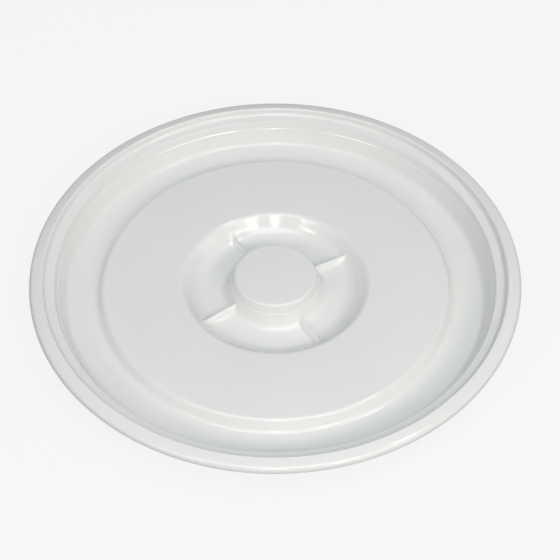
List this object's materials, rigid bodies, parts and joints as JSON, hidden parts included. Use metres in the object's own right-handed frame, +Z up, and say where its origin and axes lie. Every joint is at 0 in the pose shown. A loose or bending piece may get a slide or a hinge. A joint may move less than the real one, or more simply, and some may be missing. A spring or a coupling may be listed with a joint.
{
  "type": "fermenting bucket lid",
  "caption": "Round drop-on lid for a fermenting bucket: sloped rim with short lip, stepped plug wall, raised centre field, ribbed finger well around a flat boss, soft sealing ring below.",
  "frame": {"origin": "on the lid's axis, in the plane of the underside of the well floor, on which the lid stands on a table; the bucket's rim meets the sealing ring 29.3 mm above it", "axes": "+Z up along the lid's axis, out of the bucket; +X and +Y across the lid, the first rib standing 32 degrees from +X towards +Y"},
  "size_m": [0.38, 0.38, 0.0338],
  "materials": {
    "lid_plastic": "glossy white injection moulding with soft flow waviness",
    "seal_rubber": "matte food-grade elastomer"
  },
  "bodies": {
    "root": {"lid": "lid_plastic", "sealing_ring": "seal_rubber"}
  },
  "joints": []
}
